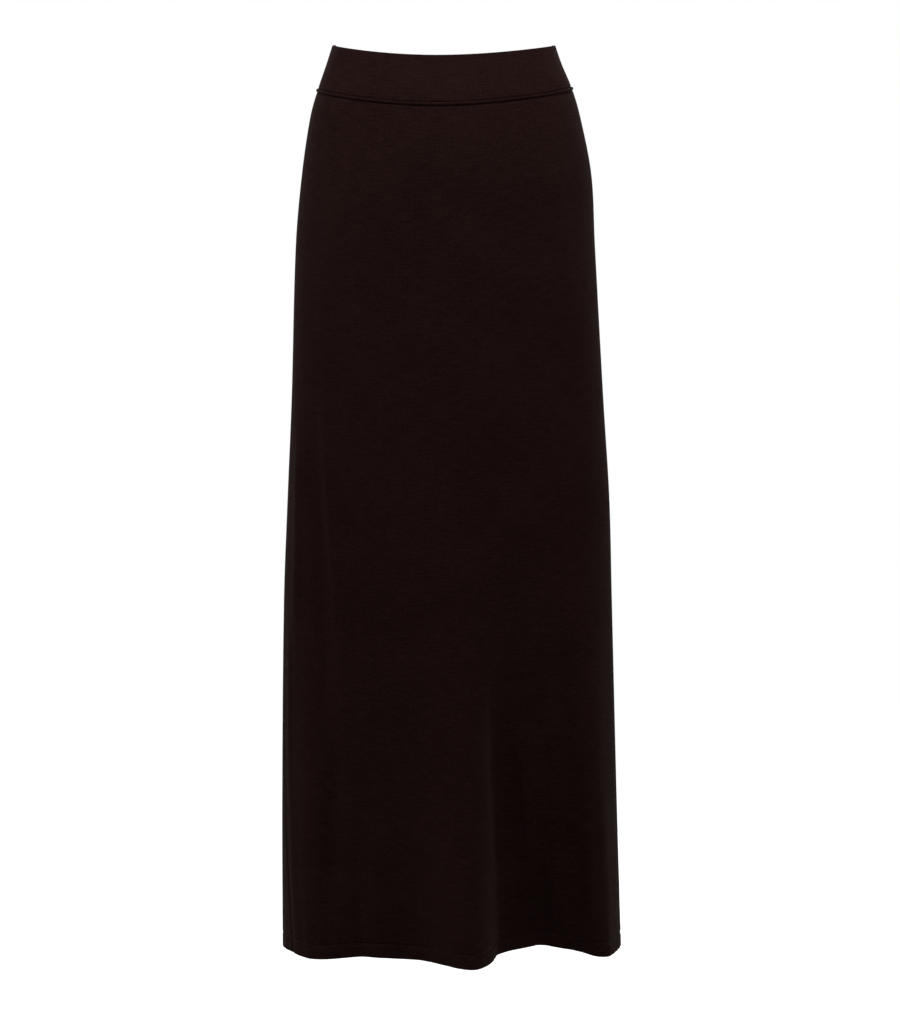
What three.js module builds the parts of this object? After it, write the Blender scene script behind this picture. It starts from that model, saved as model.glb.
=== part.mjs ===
// A long knit skirt, hollow and holding the shape in which it is worn: a flared front and back panel with a
// turned-up hem, a doubled waistband in two halves, and a round welt set in the waist seam.
// Millimetres, +Z up. The front faces -Y, the wearer's right side is at -X, and the origin is the middle of
// the wearer's waist, half-way up the waistband at the side seams.
import * as THREE from "three";

// Cloth walls, and the seams between them.
const cloth = { panelWall: 1.4, hemWall: 2.2, hemDepth: 15, bandWall: 2.4, seamGap: 0.3 };

// Heights of the waist lines at the two side seams, and how far each dips below them at the front and back.
// Each is lowest at dipMiddle, a share of the way from the wearer's right side seam to the left.
const waistTop = { right: 25.8, left: 25.4, dipFront: 29.2, dipBack: 6 };
const waistSeam = { right: -26, left: -24, dipFront: 35, dipBack: 12 };
const dipMiddle = 0.485;
const hemSide = -1014;

const welt = { radius: 2.1, proud: 1.6, clear: 0.45, segments: 72, sides: 8 };

const grid = { columns: 34, panelRows: 21, bandRows: 4, sectionSamples: 480 };

// The worn form, section by section: how far each side, the front and the back stand from the origin's
// vertical, the exponent of the section's outline, where 2 is an ellipse and more is squarer, and how far
// forward along the cloth the side seam on the wearer's right has swung.
const sections = [
  { z: 30, right: 131.2, left: 123.8, front: 91, back: 94, square: 2.1, swing: 0 },
  { z: 1, right: 140, left: 133.4, front: 98, back: 101, square: 2.1, swing: 0 },
  { z: -26, right: 149.4, left: 145, front: 103, back: 107, square: 2.1, swing: 0 },
  { z: -58, right: 158.2, left: 154.3, front: 108, back: 116, square: 2.15, swing: 0 },
  { z: -125, right: 168, left: 167.2, front: 112, back: 127, square: 2.2, swing: 0 },
  { z: -207, right: 175, left: 171.3, front: 113, back: 131, square: 2.25, swing: 0 },
  { z: -385, right: 179.8, left: 181, front: 113, back: 131, square: 2.3, swing: 0 },
  { z: -501, right: 184.5, left: 188, front: 113, back: 132, square: 2.35, swing: 8 },
  { z: -617, right: 188.6, left: 190.8, front: 112, back: 133, square: 2.4, swing: 22 },
  { z: -849, right: 190.6, left: 196.4, front: 110, back: 137, square: 2.5, swing: 40 },
  { z: -1014, right: 190, left: 201, front: 108, back: 141, square: 2.6, swing: 64 },
  { z: -1060, right: 190, left: 202, front: 107, back: 142, square: 2.6, swing: 70 },
];

// The soft folds. Each starts at height "from" at place xTop and runs down to the hem at xHem. At the hem it
// stands out by height, or in where that is negative, rising to it over rise on its -X side and falling from it
// over fall on its +X side. hemLift raises the hem at the fold.
const frontFolds = [
  { from: -470, xTop: 22, xHem: 30, height: 50, rise: 42, fall: 27, hemLift: -2.5 },
  { from: -560, xTop: 62, xHem: 99, height: -62, rise: 35, fall: 52, hemLift: 6 },
  { from: -520, xTop: 150, xHem: 180, height: 30, rise: 36, fall: 20, hemLift: -1 },
  { from: -420, xTop: -160, xHem: -154, height: 14, rise: 17, fall: 34, hemLift: -2 },
  { from: -640, xTop: -92, xHem: -86, height: -9, rise: 26, fall: 30, hemLift: 1 },
];
const backFolds = [
  { from: -430, xTop: -96, xHem: -112, height: 30, rise: 34, fall: 40, hemLift: -3 },
  { from: -520, xTop: -40, xHem: -46, height: -38, rise: 36, fall: 40, hemLift: 4 },
  { from: -480, xTop: 16, xHem: 22, height: 34, rise: 40, fall: 36, hemLift: -3 },
  { from: -600, xTop: 72, xHem: 84, height: -36, rise: 34, fall: 36, hemLift: 4 },
  { from: -540, xTop: 124, xHem: 148, height: 28, rise: 34, fall: 26, hemLift: -2 },
];

const halves = { front: { towards: -1, folds: frontFolds }, back: { towards: 1, folds: backFolds } };

// A smooth curve through the table's values of one column, at height z.
function fromSections(column, z) {
  const below = THREE.MathUtils.clamp(
    sections.findIndex((row) => row.z <= z),
    1,
    sections.length - 1,
  );
  const at = (i) => sections[THREE.MathUtils.clamp(i, 0, sections.length - 1)];
  const slope = (i) => (at(i + 1)[column] - at(i - 1)[column]) / (at(i + 1).z - at(i - 1).z);
  const [above, under] = [at(below - 1), at(below)];
  const span = under.z - above.z;
  const t = THREE.MathUtils.clamp((z - above.z) / span, 0, 1);
  const bend = t * t * (3 - 2 * t);
  return (
    above[column] * (1 - bend) +
    under[column] * bend +
    span * slope(below - 1) * t * (1 - t) ** 2 -
    span * slope(below) * t ** 2 * (1 - t)
  );
}

// How far a fold stands out at place x and height z, as a share of its height at the hem.
function foldShare(fold, x, z) {
  const down = THREE.MathUtils.clamp((fold.from - z) / (fold.from - hemSide), 0, 1.05);
  const middle = THREE.MathUtils.lerp(fold.xTop, fold.xHem, down);
  const reach = x < middle ? fold.rise : fold.fall;
  return down ** 1.5 * Math.exp(-(((x - middle) / reach) ** 2));
}

// The horizontal section at height z as one closed line: its points, with the length of line up to each, from
// the wearer's right round the front to the left, and round the back again.
function sectionLine(z) {
  const [right, left, square] = ["right", "left", "square"].map((column) => fromSections(column, z));
  const points = [];
  for (let i = 0; i <= grid.sectionSamples; i++) {
    const angle = (2 * Math.PI * i) / grid.sectionSamples;
    const half = 2 * i < grid.sectionSamples ? "front" : "back";
    const { towards, folds } = halves[half];
    const [across, along] = [Math.cos(angle), Math.abs(Math.sin(angle))];
    const x = (across > 0 ? -right : left) * Math.abs(across) ** (2 / square);
    const folded = folds.reduce((sum, fold) => sum + fold.height * foldShare(fold, x, z), 0);
    const nearSide = Math.min(1, along / 0.45) ** 1.5;
    points.push({ x, y: towards * (fromSections(half, z) * along ** (2 / square) + folded * nearSide) });
  }
  const lengths = [0];
  for (let i = 1; i < points.length; i++) {
    lengths.push(lengths[i - 1] + Math.hypot(points[i].x - points[i - 1].x, points[i].y - points[i - 1].y));
  }
  return { points, lengths, total: lengths.at(-1), toLeft: lengths[grid.sectionSamples / 2] };
}

// The place at a length along a section's line.
function placeAlong({ points, lengths, total }, length) {
  const wanted = THREE.MathUtils.euclideanModulo(length, total);
  const next = lengths.findIndex((reached) => reached > wanted);
  const part = (wanted - lengths[next - 1]) / (lengths[next] - lengths[next - 1]);
  const [a, b] = [points[next - 1], points[next]];
  return new THREE.Vector2(a.x, a.y).lerp(new THREE.Vector2(b.x, b.y), part);
}

// A point of cloth at height z and a share of the way across its panel, from the wearer's right side seam to
// the left, with the level direction square into the cloth there.
function clothPoint(half, share, z) {
  const line = sectionLine(z);
  const swing = fromSections("swing", z);
  const gap = cloth.seamGap / 2;
  const seams = {
    front: [swing + gap, line.toLeft - gap],
    back: [line.total + swing - gap, line.toLeft + gap],
  };
  const [from, to] = seams[half];
  const length = THREE.MathUtils.lerp(from, to, share);
  const { x, y } = placeAlong(line, length);
  const tangent = placeAlong(line, length + 2).sub(placeAlong(line, length - 2)).normalize();
  return { point: new THREE.Vector3(x, y, z), inwards: new THREE.Vector3(-tangent.y, tangent.x, 0) };
}

function waistLine(line, half, share) {
  const dip = half === "front" ? line.dipFront : line.dipBack;
  const turn = share < dipMiddle ? share / dipMiddle / 2 : 1 - (1 - share) / (1 - dipMiddle) / 2;
  return THREE.MathUtils.lerp(line.right, line.left, share) - dip * Math.sin(Math.PI * turn) ** 1.15;
}

function hemLine(half, share) {
  const { x } = clothPoint(half, share, hemSide).point;
  const lifted = (z, fold) => z + fold.hemLift * foldShare(fold, x, hemSide);
  return halves[half].folds.reduce(lifted, hemSide);
}

// A wall of cloth as a closed geometry. Its outer face is rows of cloth points, and its inner face lies square
// in from them, as far as walls says for each row.
function clothWall(rows, walls) {
  const [last, width] = [rows.length - 1, rows[0].length];
  const outer = rows.flat().map(({ point }) => point);
  const inner = rows.flatMap((row, j) =>
    row.map(({ point, inwards }) => point.clone().addScaledVector(inwards, walls[j])),
  );
  const faces = [];
  const quad = (a, b, c, d) => faces.push(a, b, c, a, c, d);
  const out = (j, i) => j * width + i;
  const inn = (j, i) => outer.length + j * width + i;
  for (let j = 0; j < last; j++) {
    for (let i = 0; i < width - 1; i++) {
      quad(out(j, i), out(j + 1, i), out(j + 1, i + 1), out(j, i + 1));
      quad(inn(j, i), inn(j, i + 1), inn(j + 1, i + 1), inn(j + 1, i));
    }
    quad(out(j, 0), inn(j, 0), inn(j + 1, 0), out(j + 1, 0));
    quad(out(j, width - 1), out(j + 1, width - 1), inn(j + 1, width - 1), inn(j, width - 1));
  }
  for (let i = 0; i < width - 1; i++) {
    quad(out(0, i), out(0, i + 1), inn(0, i + 1), inn(0, i));
    quad(out(last, i), inn(last, i), inn(last, i + 1), out(last, i + 1));
  }
  const geometry = new THREE.BufferGeometry().setFromPoints([...outer, ...inner]);
  geometry.setIndex(faces);
  geometry.computeVertexNormals();
  return geometry;
}

// Shares of the way round one half, in the order that makes the wall's outer face face out.
function columnShares(half) {
  const shares = Array.from({ length: grid.columns + 1 }, (_, i) => i / grid.columns);
  return half === "front" ? shares : shares.reverse();
}

function panelGeometry(half) {
  const shares = columnShares(half);
  const seamRoom = welt.radius + welt.clear;
  const rows = [];
  const walls = [];
  const addRow = (wall, heightAt) => {
    rows.push(shares.map((share) => clothPoint(half, share, heightAt(share))));
    walls.push(wall);
  };
  const hemTop = (share) => hemLine(half, share) + cloth.hemDepth;
  for (let j = 0; j <= grid.panelRows; j++) {
    const down = (j / grid.panelRows) ** 1.15;
    const top = (share) => waistLine(waistSeam, half, share) - seamRoom;
    addRow(cloth.panelWall, (share) => THREE.MathUtils.lerp(top(share), hemTop(share) + 1, down));
  }
  addRow(cloth.hemWall, hemTop);
  addRow(cloth.hemWall, (share) => hemLine(half, share));
  return clothWall(rows, walls);
}

function bandGeometry(half) {
  const shares = columnShares(half);
  const seamRoom = welt.radius + welt.clear;
  const rows = Array.from({ length: grid.bandRows + 1 }, (_, j) =>
    shares.map((share) => {
      const top = waistLine(waistTop, half, share);
      const bottom = waistLine(waistSeam, half, share) + seamRoom;
      return clothPoint(half, share, THREE.MathUtils.lerp(top, bottom, j / grid.bandRows));
    }),
  );
  return clothWall(rows, rows.map(() => cloth.bandWall));
}

// The welt is one round strip, set in the seam and standing a little proud of the cloth.
function weltGeometry() {
  const ring = ["front", "back"].flatMap((half) =>
    columnShares(half)
      .slice(0, -1)
      .map((share) => {
        const { point, inwards } = clothPoint(half, share, waistLine(waistSeam, half, share));
        return point.addScaledVector(inwards, welt.radius - welt.proud);
      }),
  );
  const path = new THREE.CatmullRomCurve3(ring, true);
  return new THREE.TubeGeometry(path, welt.segments, welt.radius, welt.sides, true);
}

function piece(name, geometry, colour, roughness) {
  const material = new THREE.MeshStandardMaterial({ color: colour, roughness, metalness: 0 });
  const mesh = new THREE.Mesh(geometry, material);
  mesh.name = name;
  return mesh;
}

const waistband = new THREE.Group();
waistband.add(
  piece("waistband_front", bandGeometry("front"), "#211716", 0.85),
  piece("waistband_back", bandGeometry("back"), "#211716", 0.85),
  piece("waist_welt", weltGeometry(), "#1e1413", 0.8),
);

const panels = new THREE.Group();
panels.add(
  piece("skirt_front", panelGeometry("front"), "#1c1210", 0.8),
  piece("skirt_back", panelGeometry("back"), "#1c1210", 0.8),
);

const skirt = new THREE.Group();
skirt.add(waistband, panels);

export default skirt;
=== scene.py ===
import math

import bpy
import numpy as np
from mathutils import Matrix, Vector


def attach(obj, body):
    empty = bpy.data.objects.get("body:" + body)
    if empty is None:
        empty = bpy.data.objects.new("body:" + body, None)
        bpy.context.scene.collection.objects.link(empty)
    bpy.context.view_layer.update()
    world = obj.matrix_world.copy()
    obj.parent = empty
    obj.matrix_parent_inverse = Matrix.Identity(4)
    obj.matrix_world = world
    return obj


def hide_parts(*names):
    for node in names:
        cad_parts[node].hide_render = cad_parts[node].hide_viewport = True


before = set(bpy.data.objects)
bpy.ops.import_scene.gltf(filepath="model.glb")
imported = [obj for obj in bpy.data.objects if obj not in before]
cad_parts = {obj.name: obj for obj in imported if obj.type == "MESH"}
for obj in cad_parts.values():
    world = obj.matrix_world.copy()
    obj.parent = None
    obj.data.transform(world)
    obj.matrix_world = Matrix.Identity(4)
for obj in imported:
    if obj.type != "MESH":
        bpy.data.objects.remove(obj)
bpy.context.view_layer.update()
print("stage: frame loaded")

# the worn form, with the same sizes as the solids, in metres
form = {
    "thickness": 0.0007,  # one layer of jersey
    "seamGap": 0.0003,  # between two pieces at a side seam
    "foldGrowth": 1.5,  # how slowly a fold opens below where it starts
    "sideFade": 0.45,  # how near the sides a fold dies away
    "dipShape": 1.15,  # how square the waist lines dip: 1 is a plain arch
    "dipMiddle": 0.485,  # where across the front the waist lines are lowest
    "waistTop": {"right": 0.0258, "left": 0.0254, "front": 0.0292, "back": 0.006},
    "waistSeam": {"right": -0.026, "left": -0.024, "front": 0.035, "back": 0.012},
    "hemHeight": -1.014,
    "pastHem": 1.05,  # how far past the hem a fold still opens, as a share of its length
    "levels": np.arange(0.034, -1.04, -0.0025),  # heights at which the form is worked out
    "sectionSamples": 1440,  # points round one level section
    "shareSamples": 900,  # points across one panel
    "tangentReach": 0.002,  # how far either side a direction is measured
}

# one row for each height: where the sides, front and back stand, how square the outline is, and how far
# forward the right side seam has swung
sections = [
    dict(z=0.030, right=0.1312, left=0.1238, front=0.091, back=0.094, square=2.1, swing=0),
    dict(z=0.001, right=0.1400, left=0.1334, front=0.098, back=0.101, square=2.1, swing=0),
    dict(z=-0.026, right=0.1494, left=0.1450, front=0.103, back=0.107, square=2.1, swing=0),
    dict(z=-0.058, right=0.1582, left=0.1543, front=0.108, back=0.116, square=2.15, swing=0),
    dict(z=-0.125, right=0.1680, left=0.1672, front=0.112, back=0.127, square=2.2, swing=0),
    dict(z=-0.207, right=0.1750, left=0.1713, front=0.113, back=0.131, square=2.25, swing=0),
    dict(z=-0.385, right=0.1798, left=0.1810, front=0.113, back=0.131, square=2.3, swing=0),
    dict(z=-0.501, right=0.1845, left=0.1880, front=0.113, back=0.132, square=2.35, swing=0.008),
    dict(z=-0.617, right=0.1886, left=0.1908, front=0.112, back=0.133, square=2.4, swing=0.022),
    dict(z=-0.849, right=0.1906, left=0.1964, front=0.110, back=0.137, square=2.5, swing=0.040),
    dict(z=-1.014, right=0.1900, left=0.2010, front=0.108, back=0.141, square=2.6, swing=0.064),
    dict(z=-1.060, right=0.1900, left=0.2020, front=0.107, back=0.142, square=2.6, swing=0.070),
]

# The flutes and hollows that open towards the hem. Each starts at a height, runs from xTop to xHem, and
# stands out by height there, or in where that is negative.
largeFolds = {
    "front": [
        dict(start=-0.470, xTop=0.022, xHem=0.030, height=0.050, rise=0.042, fall=0.027, hemLift=-0.0025),
        dict(start=-0.560, xTop=0.062, xHem=0.099, height=-0.062, rise=0.035, fall=0.052, hemLift=0.006),
        dict(start=-0.520, xTop=0.150, xHem=0.180, height=0.030, rise=0.036, fall=0.020, hemLift=-0.001),
        dict(start=-0.420, xTop=-0.160, xHem=-0.154, height=0.014, rise=0.017, fall=0.034, hemLift=-0.002),
        dict(start=-0.640, xTop=-0.092, xHem=-0.086, height=-0.009, rise=0.026, fall=0.030, hemLift=0.001),
    ],
    "back": [
        dict(start=-0.430, xTop=-0.096, xHem=-0.112, height=0.030, rise=0.034, fall=0.040, hemLift=-0.003),
        dict(start=-0.520, xTop=-0.040, xHem=-0.046, height=-0.038, rise=0.036, fall=0.040, hemLift=0.004),
        dict(start=-0.480, xTop=0.016, xHem=0.022, height=0.034, rise=0.040, fall=0.036, hemLift=-0.003),
        dict(start=-0.600, xTop=0.072, xHem=0.084, height=-0.036, rise=0.034, fall=0.036, hemLift=0.004),
        dict(start=-0.540, xTop=0.124, xHem=0.148, height=0.028, rise=0.034, fall=0.026, hemLift=-0.002),
    ],
}

# Finer creases and swells, each along a short route of (height, place across) and fading at both ends.
# height is how far it stands out, rise and fall how far it spreads towards the right and the left side.
fineFolds = {
    "front": [
        dict(route=[(-0.36, -0.1430), (-0.56, -0.1285), (-0.68, -0.1195), (-0.80, -0.1120)],
             height=0.0030, rise=0.0046, fall=0.0100, fadeIn=0.05, fadeOut=0.16),
        dict(route=[(-0.38, -0.1560), (-0.60, -0.1420), (-0.80, -0.1330)],
             height=-0.0050, rise=0.0090, fall=0.0090, fadeIn=0.14, fadeOut=0.10),
        dict(route=[(-0.40, -0.1690), (-0.52, -0.1700), (-0.70, -0.1730)],
             height=0.0026, rise=0.0050, fall=0.0060, fadeIn=0.08, fadeOut=0.10),
        dict(route=[(-0.72, -0.1300), (-0.86, -0.1290), (-1.00, -0.1330)],
             height=-0.0085, rise=0.0120, fall=0.0140, fadeIn=0.12, fadeOut=0.10),
        dict(route=[(-0.84, -0.0830), (-0.93, -0.0800), (-1.02, -0.0780)],
             height=0.0060, rise=0.0120, fall=0.0160, fadeIn=0.10, fadeOut=0.03),
        dict(route=[(-0.90, -0.0420), (-1.02, -0.0330)],
             height=-0.0035, rise=0.0160, fall=0.0160, fadeIn=0.10, fadeOut=0.03),
        dict(route=[(-0.26, -0.060), (-0.44, -0.005), (-0.62, 0.052)],
             height=-0.0022, rise=0.0240, fall=0.0220, fadeIn=0.14, fadeOut=0.14),
        dict(route=[(-0.14, 0.020), (-0.20, 0.042), (-0.25, 0.050)],
             height=-0.0018, rise=0.0180, fall=0.0160, fadeIn=0.05, fadeOut=0.05),
        dict(route=[(-0.66, 0.0500), (-0.80, 0.0580), (-0.92, 0.0640), (-1.03, 0.0660)],
             height=-0.0090, rise=0.0100, fall=0.0120, fadeIn=0.16, fadeOut=0.03),
        dict(route=[(-0.70, 0.0800), (-0.90, 0.0880), (-1.03, 0.0930)],
             height=0.0130, rise=0.0190, fall=0.0260, fadeIn=0.14, fadeOut=0.03),
        dict(route=[(-0.60, -0.1800), (-0.80, -0.1790), (-0.93, -0.1745), (-1.03, -0.1680)],
             height=0.0015, rise=0.0026, fall=0.0042, fadeIn=0.10, fadeOut=0.03),
        dict(route=[(-0.60, 0.118), (-0.84, 0.142), (-1.02, 0.150)],
             height=-0.0040, rise=0.0160, fall=0.0130, fadeIn=0.12, fadeOut=0.04),
        dict(route=[(-0.86, 0.116), (-0.94, 0.124), (-1.02, 0.128)],
             height=0.0034, rise=0.0090, fall=0.0100, fadeIn=0.08, fadeOut=0.03),
        dict(route=[(-0.10, -0.110), (-0.20, -0.128), (-0.34, -0.142)],
             height=0.0015, rise=0.0120, fall=0.0120, fadeIn=0.06, fadeOut=0.10),
        dict(route=[(-0.09, 0.112), (-0.22, 0.134), (-0.40, 0.148)],
             height=0.0015, rise=0.0120, fall=0.0120, fadeIn=0.06, fadeOut=0.14),
    ],
    "back": [
        dict(route=[(-0.34, 0.120), (-0.55, 0.131), (-0.80, 0.140)],
             height=0.0018, rise=0.0080, fall=0.0050, fadeIn=0.10, fadeOut=0.14),
        dict(route=[(-0.30, -0.140), (-0.56, -0.150), (-0.90, -0.156)],
             height=-0.0034, rise=0.0120, fall=0.0140, fadeIn=0.16, fadeOut=0.12),
        dict(route=[(-0.16, -0.030), (-0.30, -0.062), (-0.52, -0.084)],
             height=-0.0026, rise=0.0200, fall=0.0240, fadeIn=0.08, fadeOut=0.16),
        dict(route=[(-0.18, 0.036), (-0.34, 0.060), (-0.60, 0.078)],
             height=-0.0024, rise=0.0240, fall=0.0200, fadeIn=0.08, fadeOut=0.18),
        dict(route=[(-0.80, -0.078), (-0.92, -0.080), (-1.02, -0.084)],
             height=0.0035, rise=0.0120, fall=0.0120, fadeIn=0.10, fadeOut=0.03),
        dict(route=[(-0.84, 0.052), (-1.02, 0.056)],
             height=-0.0040, rise=0.0130, fall=0.0120, fadeIn=0.08, fadeOut=0.03),
        dict(route=[(-0.82, 0.116), (-1.02, 0.112)],
             height=0.0032, rise=0.0110, fall=0.0110, fadeIn=0.08, fadeOut=0.03),
    ],
}

crumple = {  # cloth that has bunched a little above the hem, beside the deep fold
    "middle": (0.128, -0.955),  # across, and height
    "reach": (0.045, 0.028),
    "height": 0.0015,
    "turns": (310, 240),  # radians a metre across, and down
    "stray": (2.2, 160, 1.3, 120),
}

sectionZ = np.array([row["z"] for row in sections])


def fromSections(column, z):
    # one size at height z, on a smooth curve through the rows of the table
    values = np.array([row[column] for row in sections], float)
    z = np.clip(z, sectionZ[-1], sectionZ[0])
    below = np.clip(np.searchsorted(-sectionZ, -z, side="left"), 1, len(sections) - 1)
    last = len(sections) - 1

    def slope(i):
        up, down = np.clip(i - 1, 0, last), np.clip(i + 1, 0, last)
        return (values[down] - values[up]) / (sectionZ[down] - sectionZ[up])

    span = sectionZ[below] - sectionZ[below - 1]
    t = (z - sectionZ[below - 1]) / span
    bend = t * t * (3 - 2 * t)
    ends = values[below - 1] * (1 - bend) + values[below] * bend
    return ends + span * slope(below - 1) * t * (1 - t) ** 2 - span * slope(below) * t**2 * (1 - t)


def foldShare(fold, x, z):
    # how far a large fold stands out here, as a share of its height at the hem
    down = np.clip((fold["start"] - z) / (fold["start"] - form["hemHeight"]), 0, form["pastHem"])
    middle = fold["xTop"] + (fold["xHem"] - fold["xTop"]) * down
    reach = np.where(x < middle, fold["rise"], fold["fall"])
    return down ** form["foldGrowth"] * np.exp(-(((x - middle) / reach) ** 2))


def smooth(low, high, value):
    # 0 up to low, 1 from high, and an easy curve between
    t = np.clip((value - low) / (high - low), 0, 1)
    return t * t * (3 - 2 * t)


def fineHeight(half, x, z):
    # how far the fine folds lift the cloth here
    total = np.zeros_like(x)
    for fold in fineFolds[half]:
        heights = np.array([point[0] for point in fold["route"]])[::-1]
        places = np.array([point[1] for point in fold["route"]])[::-1]
        middle = np.interp(z, heights, places)
        shown = smooth(0, fold["fadeIn"], heights[-1] - z)
        if heights[0] >= form["hemHeight"]:  # a fold that ends before the hem fades out again
            shown = shown * smooth(0, fold["fadeOut"], z - heights[0])
        reach = np.where(x < middle, fold["rise"], fold["fall"])
        total += fold["height"] * shown * np.exp(-(((x - middle) / reach) ** 2))
    if half == "front":
        (middleX, middleZ), (reachX, reachZ) = crumple["middle"], crumple["reach"]
        (turnsX, turnsZ), (strayX, byZ, strayZ, byX) = crumple["turns"], crumple["stray"]
        near = np.exp(-(((x - middleX) / reachX) ** 2) - ((z - middleZ) / reachZ) ** 2)
        across = np.sin(x * turnsX + strayX * np.sin(z * byZ))
        total += crumple["height"] * near * across * np.sin(z * turnsZ + strayZ * np.sin(x * byX))
    return total


def sectionLine(z):
    # one level section as a closed line, from the wearer's right round the front to the left and back
    angle = np.linspace(0, 2 * math.pi, form["sectionSamples"] + 1)
    across, along = np.cos(angle), np.abs(np.sin(angle))
    square = fromSections("square", z)
    side = np.where(across > 0, -fromSections("right", z), fromSections("left", z))
    x = side * np.abs(across) ** (2 / square)
    nearSide = np.minimum(1, along / form["sideFade"]) ** form["foldGrowth"]
    y = np.zeros_like(x)
    for half, towards, here in (("front", -1, angle < math.pi), ("back", 1, angle >= math.pi)):
        folded = sum(fold["height"] * foldShare(fold, x, z) for fold in largeFolds[half])
        y = np.where(here, towards * (fromSections(half, z) * along ** (2 / square) + folded * nearSide), y)
    length = np.concatenate([[0], np.cumsum(np.hypot(np.diff(x), np.diff(y)))])
    return x, y, length


def buildTables():
    # the form as tables over height and share of the way across each panel: place, outward direction, girth
    shares = np.linspace(0, 1, form["shareSamples"])
    keys, reach = ("x", "y", "outX", "outY", "width"), form["tangentReach"]
    tables = {half: {key: [] for key in keys} for half in ("front", "back")}
    for z in form["levels"]:
        x, y, length = sectionLine(z)
        total, toLeft = length[-1], length[form["sectionSamples"] // 2]
        swing = float(fromSections("swing", z))
        # a line three times round, so that a place past either end is found
        lengths = np.concatenate([length[:-1] - total, length[:-1], length + total])
        xs, ys = np.concatenate([x[:-1], x[:-1], x]), np.concatenate([y[:-1], y[:-1], y])
        for half, start, end in (("front", swing, toLeft), ("back", total + swing, toLeft)):
            at = start + (end - start) * shares
            px, py = np.interp(at, lengths, xs), np.interp(at, lengths, ys)
            tx = np.interp(at + reach, lengths, xs) - np.interp(at - reach, lengths, xs)
            ty = np.interp(at + reach, lengths, ys) - np.interp(at - reach, lengths, ys)
            size = np.hypot(tx, ty)
            found = (px, py, ty / size, -tx / size, np.full_like(px, abs(end - start)))
            for key, values in zip(keys, found):
                tables[half][key].append(values)
    return {half: {key: np.array(rows) for key, rows in table.items()} for half, table in tables.items()}


tables = buildTables()
print("stage: form worked out")


def lookUp(half, key, share, z):
    # one of the tables at any share and height, straight between its nearest entries
    table, levels = tables[half][key], form["levels"]
    row = np.clip((levels[0] - z) / (levels[0] - levels[1]), 0, len(levels) - 1.001)
    column = np.clip(share, 0, 1) * (table.shape[1] - 1) * 0.999999
    i, j = row.astype(int), column.astype(int)
    a, b = row - i, column - j
    return (
        table[i, j] * (1 - a) * (1 - b)
        + table[i + 1, j] * a * (1 - b)
        + table[i, j + 1] * (1 - a) * b
        + table[i + 1, j + 1] * a * b
    )


def clothPlace(half, share, z, inset):
    # a point of the form, inset metres in from its face, fine folds included
    x, y = lookUp(half, "x", share, z), lookUp(half, "y", share, z)
    out = fineHeight(half, x, z) - inset
    x = x + lookUp(half, "outX", share, z) * out
    y = y + lookUp(half, "outY", share, z) * out
    return np.stack([x, y, z], axis=-1)


def waistLine(line, half, share):
    # the height of the band's top, or of the waist seam, at a share of the way across
    middle = form["dipMiddle"]
    turn = np.where(share < middle, share / middle / 2, 1 - (1 - share) / (1 - middle) / 2)
    dip = np.sin(math.pi * np.clip(turn, 0, 1)) ** form["dipShape"]
    return line["right"] + (line["left"] - line["right"]) * share - line[half] * dip


def hemLine(half, share):
    # the height of the hem, which the large folds lift or drop a little
    hem = np.full_like(share, form["hemHeight"])
    x = lookUp(half, "x", share, hem)
    return hem + sum(fold["hemLift"] * foldShare(fold, x, form["hemHeight"]) for fold in largeFolds[half])


class Value:
    # a socket that carries a number, so that shader maths is written as plain sums
    def __init__(self, build, socket):
        self.build, self.socket = build, socket

    def sum(self, operation, *others):
        values = dict(enumerate((self, *others)))
        return self.build.value("ShaderNodeMath", {"operation": operation}, values)

    def __add__(self, other):
        return self.sum("ADD", other)

    def __sub__(self, other):
        return self.sum("SUBTRACT", other)

    def __rsub__(self, other):
        return (self * -1).sum("ADD", other)

    def __mul__(self, other):
        return self.sum("MULTIPLY", other)

    __radd__, __rmul__ = __add__, __mul__


class Build:
    # the node tree of one material, or of the world
    def __init__(self, owner, output="ShaderNodeOutputMaterial"):
        owner.use_nodes = True
        self.owner = owner
        self.tree = owner.node_tree
        self.tree.nodes.clear()
        self.output = self.node(output)

    def finish(self, shader):
        self.tree.links.new(shader.outputs[0], self.output.inputs["Surface"])
        return self.owner

    def node(self, kind, settings=None, values=None):
        made = self.tree.nodes.new(kind)
        for key, value in (settings or {}).items():
            setattr(made, key, value)
        for key, value in (values or {}).items():
            value = getattr(value, "socket", value)
            if isinstance(value, bpy.types.NodeSocket):
                self.tree.links.new(value, made.inputs[key])
            else:
                made.inputs[key].default_value = value
        return made

    def value(self, kind, settings=None, values=None, out=0):
        return Value(self, self.node(kind, settings, values).outputs[out])

    def mix(self, share, first, second):
        colour = {"data_type": "RGBA", "clamp_factor": True}
        return self.node("ShaderNodeMix", colour, {0: share, 6: first, 7: second}).outputs[2]

    def mixShader(self, share, first, second):
        shaders = {0: share, 1: first.outputs[0], 2: second.outputs[0]}
        return self.node("ShaderNodeMixShader", None, shaders)

    def scaled(self, vector, by):
        return self.node("ShaderNodeVectorMath", {"operation": "MULTIPLY"}, {0: vector, 1: by}).outputs[0]

    def noise(self, vector, scale, detail=2.0, rough=0.5):
        values = {"Vector": vector, "Scale": scale, "Detail": detail, "Roughness": rough}
        return self.value("ShaderNodeTexNoise", {"noise_dimensions": "3D"}, values)


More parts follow.
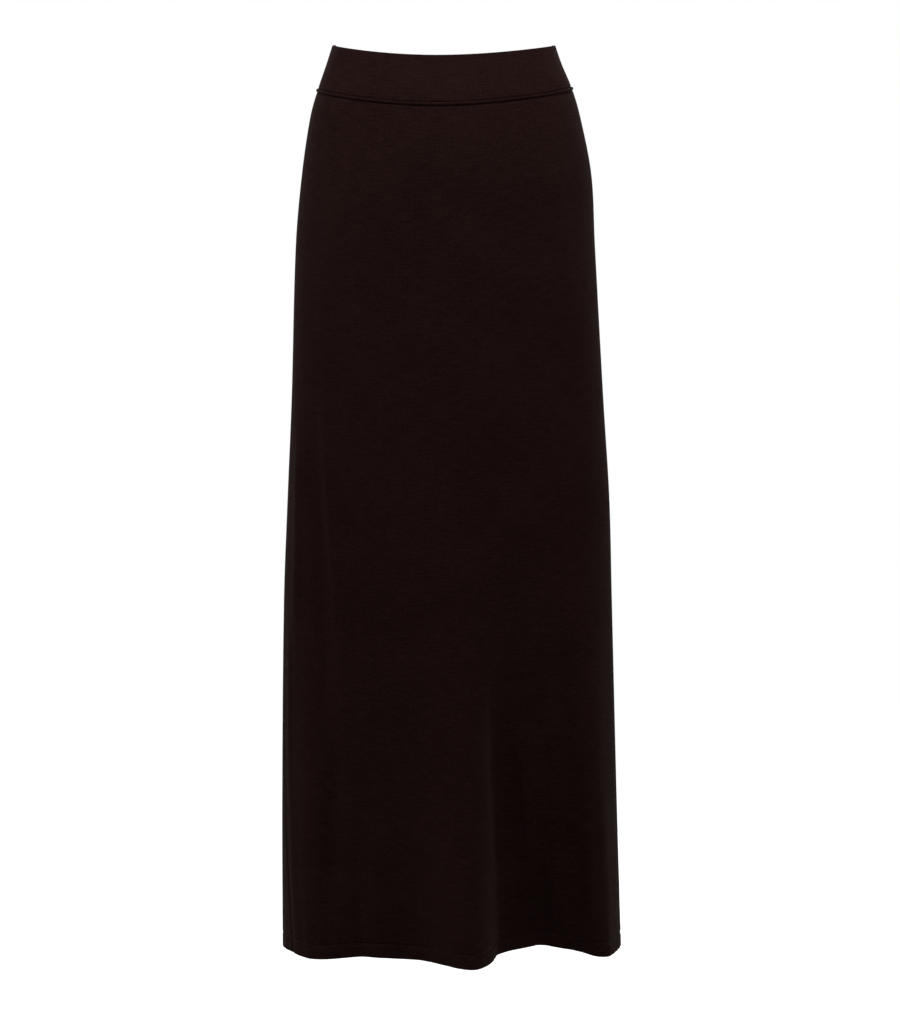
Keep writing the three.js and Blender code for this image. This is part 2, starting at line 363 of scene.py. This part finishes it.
jersey = {
    "dark": (0.0098, 0.0040, 0.0035),
    "light": (0.0205, 0.0096, 0.0085),
    "grain": {  # kinds of unevenness: turns a metre across and up, and how much each shows in the colour
        "fleck": dict(turns=(430, 900, 1), detail=2.0, rough=0.65, weight=3.4),
        "slub": dict(turns=(55, 760, 1), detail=2.0, rough=0.6, weight=1.9),
        "patch": dict(turns=(9, 13, 1), detail=3.0, rough=0.6, weight=0.8),
        "cloud": dict(turns=(70, 90, 1), detail=2.0, rough=0.5, weight=0.35),
    },
    "relief": {"wale": 0.6, "course": 0.4, "fleck": 1.2, "slub": 1.6},  # what the bump is made of
    "stitchWidth": 0.00095,
    "stitchHeight": 0.00075,
    "stitchDepth": 0.00022,
    "roughness": 0.72,
    "roughnessSpread": 0.16,
    "specular": 0.006,
    "sheen": 0.024,
    "sheenRoughness": 0.3,
    "sheenTint": (1.0, 0.86, 0.82, 1),
}


def jerseyMaterial(name, lighter=1.0, stitchBump=0.5):
    b = Build(bpy.data.materials.new(name))
    cut = b.node("ShaderNodeUVMap", {"uv_map": "clothCut"}).outputs["UV"]
    # yarns run across the cloth, so the heather is short dashes drawn out along each course
    grain, shade = {}, 0.5
    for kind, made in jersey["grain"].items():
        grain[kind] = b.noise(b.scaled(cut, made["turns"]), 1.0, made["detail"], made["rough"])
        shade = shade + (grain[kind] - 0.5) * made["weight"]
    # lighter scales the cloth's own colour: above 1 it is painted light, below 1 painted shade
    dark, light = [tuple(part * lighter for part in jersey[key]) + (1,) for key in ("dark", "light")]
    # each stitch is a small V: wales run up the cloth, courses across it
    parts = b.node("ShaderNodeSeparateXYZ", None, {0: cut})
    across = Value(b, parts.outputs[0]) * (1 / jersey["stitchWidth"])
    upwards = Value(b, parts.outputs[1]) * (1 / jersey["stitchHeight"])
    wale = (across * (2 * math.pi)).sum("SINE").sum("ABSOLUTE")
    course = ((upwards + wale * 0.5) * (2 * math.pi)).sum("SINE")
    raised = {"wale": wale, "course": course, **grain}
    height = sum(raised[kind] * weight for kind, weight in jersey["relief"].items())
    relief = {"Strength": stitchBump, "Distance": jersey["stitchDepth"], "Height": height}
    cloth = b.node("ShaderNodeBsdfPrincipled", None, {
        "Base Color": b.mix(shade, dark, light),
        "Roughness": jersey["roughness"] + (grain["fleck"] - 0.5) * jersey["roughnessSpread"],
        "Normal": b.node("ShaderNodeBump", None, relief).outputs[0],
        "Specular IOR Level": jersey["specular"],
        "Sheen Weight": jersey["sheen"],
        "Sheen Roughness": jersey["sheenRoughness"],
        "Sheen Tint": jersey["sheenTint"],
    })
    return b.finish(cloth)


sewingThread = {
    "dark": (0.0045, 0.002, 0.0018, 1),
    "light": (0.012, 0.0058, 0.005, 1),
    "twist": 2600.0,  # turns a metre
    "twistDepth": 0.0001,
    "roughness": 0.5,
    "specular": 0.25,
}


def threadMaterial(name):
    b = Build(bpy.data.materials.new(name))
    place = b.node("ShaderNodeTexCoord").outputs["Object"]
    twist = b.noise(place, sewingThread["twist"], 1.0)
    relief = {"Strength": 0.4, "Distance": sewingThread["twistDepth"], "Height": twist}
    return b.finish(b.node("ShaderNodeBsdfPrincipled", None, {
        "Base Color": b.mix(twist, sewingThread["dark"], sewingThread["light"]),
        "Roughness": sewingThread["roughness"],
        "Normal": b.node("ShaderNodeBump", None, relief).outputs[0],
        "Specular IOR Level": sewingThread["specular"],
    }))


def addPiece(name, vertices, faces, material, cut=None):
    # a smooth mesh that rides on the one body, with its flat cut as a map where it has one
    mesh = bpy.data.meshes.new(name)
    mesh.from_pydata(vertices.reshape(-1, 3).tolist(), [], faces)
    if cut is not None:
        layer = mesh.uv_layers.new(name="clothCut")
        corners = np.array(faces).ravel()
        layer.data.foreach_set("uv", cut.reshape(-1, 2)[corners].astype(np.float32).ravel())
    mesh.polygons.foreach_set("use_smooth", np.ones(len(faces), bool))
    mesh.materials.append(material)
    mesh.update()
    piece = bpy.data.objects.new(name, mesh)
    bpy.context.scene.collection.objects.link(piece)
    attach(piece, "root")
    return piece


def clothShell(name, places, cut, material):
    # a closed shell on a grid of middle points (rows, columns, 3), with its flat cut as a map in metres
    down, across = np.gradient(places, axis=0), np.gradient(places, axis=1)
    normal = np.cross(down, across)
    normal /= np.maximum(np.linalg.norm(normal, axis=-1, keepdims=True), 1e-12)
    half = form["thickness"] / 2
    rows, columns = places.shape[:2]
    count = rows * columns
    faceUp, faceDown = places + normal * half, places - normal * half
    vertices = np.concatenate([faceUp.reshape(-1, 3), faceDown.reshape(-1, 3)])
    index = np.arange(count).reshape(rows, columns)
    a, b, c, d = index[:-1, :-1], index[1:, :-1], index[1:, 1:], index[:-1, 1:]
    outer = np.stack([a, b, c, d], -1).reshape(-1, 4)
    inner = np.stack([a, d, c, b], -1).reshape(-1, 4) + count
    edge = np.concatenate([index[:-1, 0], index[-1, :-1], index[:0:-1, -1], index[0, :0:-1]])
    after = np.roll(edge, -1)
    rim = np.stack([edge, edge + count, after + count, after], -1)
    faces = np.concatenate([outer, inner, rim]).tolist()
    return addPiece(name, vertices, faces, material, np.concatenate([cut, cut]))


cutPlace = {"front": 0, "back": 1.7, "welt": 3.4}  # apart, so that no two pieces have the same heather


def flatMap(half, places):
    # where each point lies on the cut, in metres: across from the middle, and down the cloth
    step = np.linalg.norm(np.diff(places, axis=0), axis=-1)
    length = np.concatenate([np.zeros((1, places.shape[1])), np.cumsum(step, axis=0)])
    width = np.linalg.norm(np.diff(places, axis=1), axis=-1)
    across = np.concatenate([np.zeros((places.shape[0], 1)), np.cumsum(width, axis=1)], axis=1)
    across -= across.mean(axis=1, keepdims=True)
    return np.stack([across + cutPlace[half], -length], axis=-1)


def seamColumns(half, count, turnIn, ease):
    # Columns across a panel, with the allowance at each side folded back inside. Each has its share of the
    # way across, its metres on from the nearer seam, and how far in it lies.
    gap = form["seamGap"] / 2
    fold = [(0.0016, 0.0021), (0.0004, 0.0018), (0, 0.0012), (0.0003, 0.0005)]
    edge = [(turnIn, 0.0019), *fold, (ease, 0.0001)]
    body = np.linspace(0, 1, count)
    shares = np.concatenate([np.zeros(len(edge)), body[1:-1], np.ones(len(edge))])
    onward, turned = np.array([on for on, _ in edge]) + gap, np.array([inset for _, inset in edge])
    metres = np.concatenate([onward, np.zeros(count - 2), -onward[::-1]])
    insets = np.concatenate([turned, np.zeros(count - 2), turned[::-1]])
    if half == "back":
        return shares[::-1], metres[::-1], insets[::-1]
    return shares, metres, insets


panel = {
    "columns": 196,
    "rows": 205,
    "rowSpread": 1.05,  # above 1, rows stand closer near the top
    "topEdge": [  # how the top edge turns in: how far below the seam line, and how far in
        (0.0080, 0.0042), (0.0040, 0.0042), (0.0012, 0.0040), (0.0002, 0.0035), (0.0004, 0.0029),
        (0.0013, 0.0023), (0.0020, 0.0015), (0.0024, 0.0008), (0.0029, 0.0003),
    ],
    "top": 0.0036,  # below the seam line
    "hemDepth": 0.015,
    "hemFold": 0.00085,  # radius of the fold at the hem
    "hemFoldRows": 7,
    "turnIn": 0.006,  # allowance at each side seam
    "seamEase": 0.0012,
    "stitchDent": 0.0012,
    "dentReach": 0.0015,
    "stitchRows": [  # rows near the hem's stitches, as metres above them
        0.0026, 0.0017, 0.0010, 0.0004, -0.0002, -0.0008, -0.0015, -0.0025, -0.0040, -0.0065,
        -0.0090, -0.0115, -0.0135,
    ],
    "pucker": 0.00035,
}


def gridOf(half, rows, share, metres, sideInset):
    # rows and columns crossed: height, inset, width of the panel and share of it at each point
    z = np.array([row[0] for row in rows])
    inset = np.array([row[1] * np.ones_like(share) for row in rows]) + sideInset
    width = lookUp(half, "width", np.broadcast_to(share, z.shape), z)
    return z, inset, width, np.broadcast_to(share, z.shape) + metres / width


def hemPucker(hem, z, along):
    # the hem puckers a little between its stitches, unevenly
    nearHem = smooth(0.045, 0.004, np.abs(z - hem - 0.008))
    ripple = np.sin(along * 330 + 1.7 * np.sin(along * 47)) * (0.6 + 0.4 * np.sin(along * 61 + 1.1))
    return panel["pucker"] * nearHem * ripple


def panelPiece(half, material):
    share, metres, sideInset = seamColumns(half, panel["columns"], panel["turnIn"], panel["seamEase"])
    seam = waistLine(form["waistSeam"], half, share)
    hem = hemLine(half, share)
    ply = form["thickness"] / 2  # from the face to the middle of the cloth
    # Each row has its heights, and how far in from the face it lies. The top edge turns in under the welt,
    # passes up behind it and folds down again inside.
    rows = [(seam - below, inset + ply) for below, inset in panel["topEdge"]]
    start, hemTop = seam - panel["top"], hem + panel["hemDepth"]
    end = hemTop + panel["stitchRows"][0] + 0.0009
    for down in np.linspace(0, 1, panel["rows"]) ** panel["rowSpread"]:
        rows.append((start + (end - start) * down, ply))
    for above in panel["stitchRows"]:
        dent = panel["stitchDent"] * math.exp(-((above / panel["dentReach"]) ** 2))
        rows.append((hemTop + above, ply + dent))
    fold = panel["hemFold"]
    for turn in np.linspace(0, math.pi, panel["hemFoldRows"]):
        rows.append((hem + fold - fold * math.sin(turn), ply + fold * (1 - math.cos(turn))))
    for above in np.linspace(0.003, panel["hemDepth"] - 0.0005, panel["hemFoldRows"]):
        rows.append((hem + above, ply + 2 * fold))
    z, inset, width, shares = gridOf(half, rows, share, metres, sideInset)
    places = clothPlace(half, shares, z, inset - hemPucker(hem, z, shares * width))
    cut = flatMap(half, places)
    piece = clothShell(f"skirt_{half}_jersey", places, cut, material)
    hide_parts(f"skirt_{half}")
    return piece


band = {
    "columns": 190,
    "rows": 16,
    "turnIn": 0.005,
    "seamEase": 0.001,
    "foldRadius": 0.0009,  # of the fold along the top
    "bottom": 0.0021,  # above the seam line
    "bottomEdge": [(0.0006, 0.0019), (0.0000, 0.0010), (0.0005, 0.0004), (0.0013, 0.0001)],  # above, and in
    "cornerDrop": 0.4,  # how much the top drops where the cloth turns in at a side seam
    "wave": 0.0004,
}


def bandPiece(half, material):
    share, metres, sideInset = seamColumns(half, band["columns"], band["turnIn"], band["seamEase"])
    top = waistLine(form["waistTop"], half, share) - band["cornerDrop"] * sideInset
    bottom = waistLine(form["waistSeam"], half, share) + band["bottom"]
    ply, fold = form["thickness"] / 2, band["foldRadius"]
    # up the outside, over the fold and down the inside
    rows = [(bottom + above, inset + ply) for above, inset in band["bottomEdge"]]
    low, high = bottom + 0.0025, top - 0.002
    for up in np.linspace(0, 1, band["rows"]):
        rows.append((low + (high - low) * up, ply))
    for turn in np.linspace(0, math.pi, 9):
        rows.append((top - fold + fold * math.sin(turn), ply + fold * (1 - math.cos(turn))))
    for down in np.linspace(0.04, 1, 14):
        rows.append((high + (bottom - 0.001 - high) * down, ply + 2 * fold + 0.0001))
    z, inset, width, shares = gridOf(half, rows, share, metres, sideInset)
    along = shares * width
    between = np.sin(np.clip((top - z) / (top - bottom), 0, 1) * math.pi)
    wave = np.sin(along * 52 + 0.8 * np.sin(along * 23)) * between
    places = clothPlace(half, shares, z, inset - band["wave"] * wave)
    cut = flatMap(half, places)
    piece = clothShell(f"waistband_{half}_jersey", places, cut, material)
    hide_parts(f"waistband_{half}")
    return piece


welt = {"radius": 0.00205, "proud": 0.0016, "steps": 520, "sides": 14}


def weltPiece(material):
    # a narrow strip rolled round and caught in the seam, all the way round the waist
    rings, middle = [], []
    count = welt["steps"] // 2
    share = np.linspace(0, 1, count, endpoint=False)
    for half, shares in (("front", share), ("back", 1 - share)):
        z = waistLine(form["waistSeam"], half, shares)
        middle.append(np.concatenate([clothPlace(half, shares, z, welt["radius"] - welt["proud"]),
                                      lookUp(half, "outX", shares, z)[:, None],
                                      lookUp(half, "outY", shares, z)[:, None]], axis=1))
    middle = np.concatenate(middle)
    out = np.stack([middle[:, 3], middle[:, 4], np.zeros(len(middle))], axis=1)
    upright = np.array([0, 0, 1.0])
    along = np.linalg.norm(np.diff(middle[:, :3], axis=0, append=middle[:1, :3]), axis=1).cumsum()
    for k in range(welt["sides"]):
        turn = 2 * math.pi * k / welt["sides"]
        size = welt["radius"] * (1 + 0.03 * np.sin(along * 140 + turn) + 0.02 * np.sin(along * 61))
        outwards, upwards = (np.cos(turn) * size)[:, None], (np.sin(turn) * size)[:, None]
        rings.append(middle[:, :3] + out * outwards + upright * upwards)
    places = np.stack(rings, axis=1)
    steps, sides = places.shape[:2]
    index = np.arange(steps * sides).reshape(steps, sides)
    onward, aroundOne = np.roll(index, -1, axis=0), np.roll(index, -1, axis=1)
    faces = np.stack([index, onward, np.roll(onward, -1, axis=1), aroundOne], -1).reshape(-1, 4).tolist()
    aroundRoll = np.arange(sides)[None, :] * 2 * math.pi * welt["radius"] / sides
    cut = np.stack(np.broadcast_arrays(along[:, None] + cutPlace["welt"], aroundRoll), -1)
    piece = addPiece("waist_welt_roll", places, faces, material, cut)
    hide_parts("waist_welt")
    return piece


stitch = {
    "length": 0.0026,
    "pitch": 0.0032,
    "radius": 0.00022,
    "sides": 6,
    "rings": (0, 0.35, 0.75, 1, 0.75, 0.35, 0),  # how full the thread is along one stitch
}


def hemStitches(half, material):
    # one line of straight stitches along the top of the turned-up hem, each lying in its own small dent
    width = float(lookUp(half, "width", np.array([0.5]), np.array([form["hemHeight"]]))[0])
    count = int(width / stitch["pitch"])
    centre = (np.arange(count) + 0.5) / count
    reach = stitch["length"] / width / 2
    ringAt = np.linspace(-1, 1, len(stitch["rings"]))
    share = centre[:, None] + ringAt[None, :] * reach
    z = hemLine(half, share) + panel["hemDepth"]
    inset = panel["stitchDent"] - 0.00005 + 0.0003 * np.abs(ringAt)[None, :] ** 3
    inset = inset - hemPucker(z - panel["hemDepth"], z, share * lookUp(half, "width", share, z))
    line = clothPlace(half, share, z, inset)
    out = np.stack([lookUp(half, "outX", share, z), lookUp(half, "outY", share, z), np.zeros_like(z)], -1)
    upright = np.array([0, 0, 1.0])
    size = stitch["radius"] * np.maximum(np.array(stitch["rings"]), 0.02)[None, :, None]
    turns = 2 * math.pi * np.arange(stitch["sides"]) / stitch["sides"]
    around = [line + (out * math.cos(t) + upright * math.sin(t)) * size for t in turns]
    places = np.stack(around, axis=2)
    rings, sides = len(ringAt), stitch["sides"]
    index = np.arange(count * rings * sides).reshape(count, rings, sides)
    a, b = index[:, :-1], index[:, 1:]
    faces = np.stack([a, b, np.roll(b, -1, axis=2), np.roll(a, -1, axis=2)], -1).reshape(-1, 4).tolist()
    faces += index[:, 0, ::-1].tolist() + index[:, -1].tolist()
    return addPiece(f"hem_stitches_{half}", places, faces, material)


skirtJersey = jerseyMaterial("skirtJersey")
# the band is the skirt's jersey painted 6% lighter: painted light, where the top of the skirt catches more
# light from above
bandJersey = jerseyMaterial("waistbandJersey", lighter=1.06, stitchBump=0.35)
# the welt is the skirt's jersey painted 5% darker: painted shade, where it sits in the shadow under the
# band
weltJersey = jerseyMaterial("weltJersey", lighter=0.95, stitchBump=0.35)
thread = threadMaterial("sewingThread")

for half in ("front", "back"):
    piece = panelPiece(half, skirtJersey)
    stitches = hemStitches(half, thread)
    piece = bandPiece(half, bandJersey)
weltPiece(weltJersey)
print("stage: cloth made")

studio = {
    "cameraPlace": (0.0035, -2.8, -0.5116),
    "lens": 85.4,
    "floorHeight": -1.20,
    "floorReach": 30,
    "floorColour": (0.6, 0.6, 0.6, 1),
    "floorGlow": 0.94,  # added where it is seen, so that it looks white and still takes a shadow
    "world": 0.11,
}

scene = bpy.context.scene
cameraData = bpy.data.cameras.new("camera")
cameraData.lens = studio["lens"]
cameraData.sensor_width = 36
cameraData.clip_end = 100
camera = bpy.data.objects.new("camera", cameraData)
camera.location = studio["cameraPlace"]
camera.rotation_euler = (math.radians(90), 0, 0)
scene.collection.objects.link(camera)
scene.camera = camera

lamps = [
    dict(name="overhead", place=(0.08, -1.05, 0.9), aim=(0, 0, -0.05), size=(1.0, 0.6), power=17),
    dict(name="rightSide", place=(-1.9, -0.35, 0.9), aim=(0, 0, -0.1), size=(0.8, 1.2), power=17),
    dict(name="leftSide", place=(1.9, -0.25, 1.0), aim=(0, 0, 0.0), size=(0.8, 1.0), power=11),
    dict(name="behind", place=(0.0, 1.5, 1.2), aim=(0, 0, -0.2), size=(1.6, 0.8), power=17),
]


def aimed(place, aim):
    return (Vector(aim) - Vector(place)).to_track_quat("-Z", "Y").to_euler()


for lamp in lamps:
    data = bpy.data.lights.new(lamp["name"], "AREA")
    data.shape = "RECTANGLE"
    data.size, data.size_y = lamp["size"]
    data.energy = lamp["power"]
    light = bpy.data.objects.new(lamp["name"], data)
    light.location = lamp["place"]
    light.rotation_euler = aimed(lamp["place"], lamp["aim"])
    scene.collection.objects.link(light)


def seenDirect(b):
    # 1 for what the camera sees, itself or in a gloss or through glass
    seen = b.node("ShaderNodeLightPath").outputs
    direct = Value(b, seen["Is Camera Ray"]).sum("MAXIMUM", seen["Is Glossy Ray"])
    return direct.sum("MAXIMUM", seen["Is Transmission Ray"])


def floorMaterial():
    b = Build(bpy.data.materials.new("floorWhite"))
    plain = b.node("ShaderNodeBsdfDiffuse", None, {"Color": studio["floorColour"]})
    glow = b.node("ShaderNodeEmission", None, {"Color": (1, 1, 1, 1), "Strength": studio["floorGlow"]})
    both = b.node("ShaderNodeAddShader", None, {0: plain.outputs[0], 1: glow.outputs[0]})
    return b.finish(b.mixShader(seenDirect(b), plain, both))


floorMesh = bpy.data.meshes.new("floor")
reach, low = studio["floorReach"], studio["floorHeight"]
corners = [(-reach, -reach, low), (reach, -reach, low), (reach, reach, low), (-reach, reach, low)]
floorMesh.from_pydata(corners, [], [(0, 1, 2, 3)])
floorMesh.materials.append(floorMaterial())
floor = bpy.data.objects.new("floor", floorMesh)
scene.collection.objects.link(floor)


def whiteWorld():
    # white where it is seen directly or in a gloss, and dim as a light
    b = Build(bpy.data.worlds.new("studio"), "ShaderNodeOutputWorld")
    dim = b.node("ShaderNodeBackground", None, {"Color": (1, 1, 1, 1), "Strength": studio["world"]})
    white = b.node("ShaderNodeBackground", None, {"Color": (1, 1, 1, 1), "Strength": 1.0})
    return b.finish(b.mixShader(seenDirect(b), dim, white))


scene.world = whiteWorld()
scene.view_settings.view_transform = "Standard"
print("stage: camera, floor and light made")
